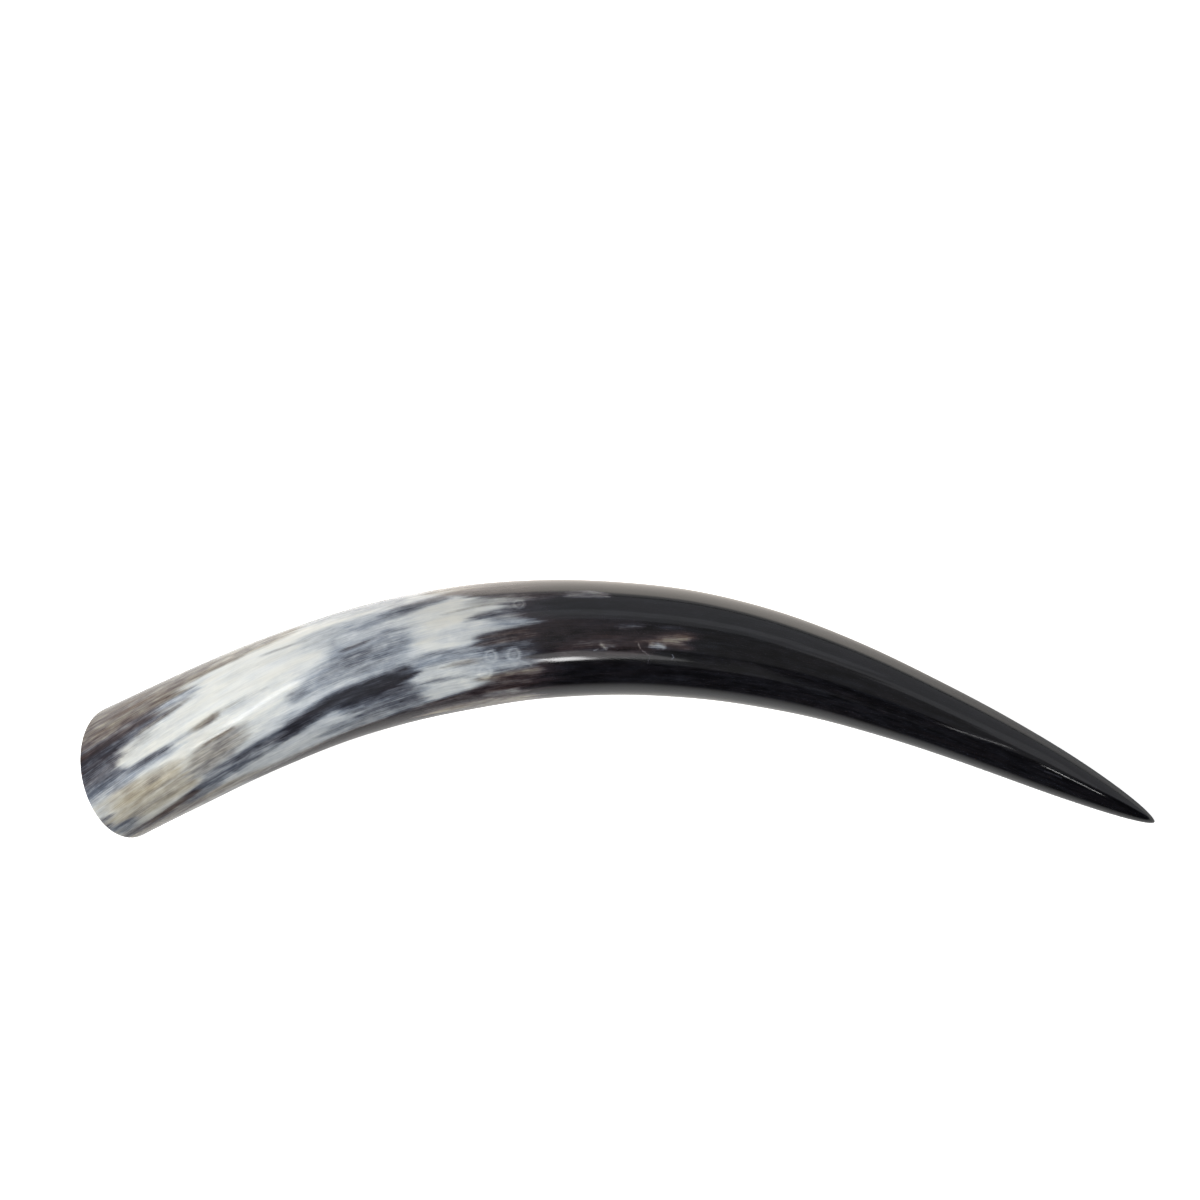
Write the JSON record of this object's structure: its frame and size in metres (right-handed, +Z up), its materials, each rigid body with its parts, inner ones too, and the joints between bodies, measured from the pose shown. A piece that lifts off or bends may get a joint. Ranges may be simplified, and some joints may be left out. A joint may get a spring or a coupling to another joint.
{
  "type": "cow horn",
  "caption": "Curved polished cow horn, hollow at its flat sawn base and tapering to a solid point, lying on its side.",
  "frame": {"origin": "middle of the horn's footprint, on the surface that it lies on", "axes": "+X from the sawn base towards the tip, +Y towards the outside of the bend, +Z up"},
  "size_m": [0.4812, 0.1152, 0.0586],
  "materials": {
    "horn_keratin": "polished"
  },
  "bodies": {
    "root": {"horn": "horn_keratin"}
  },
  "joints": []
}
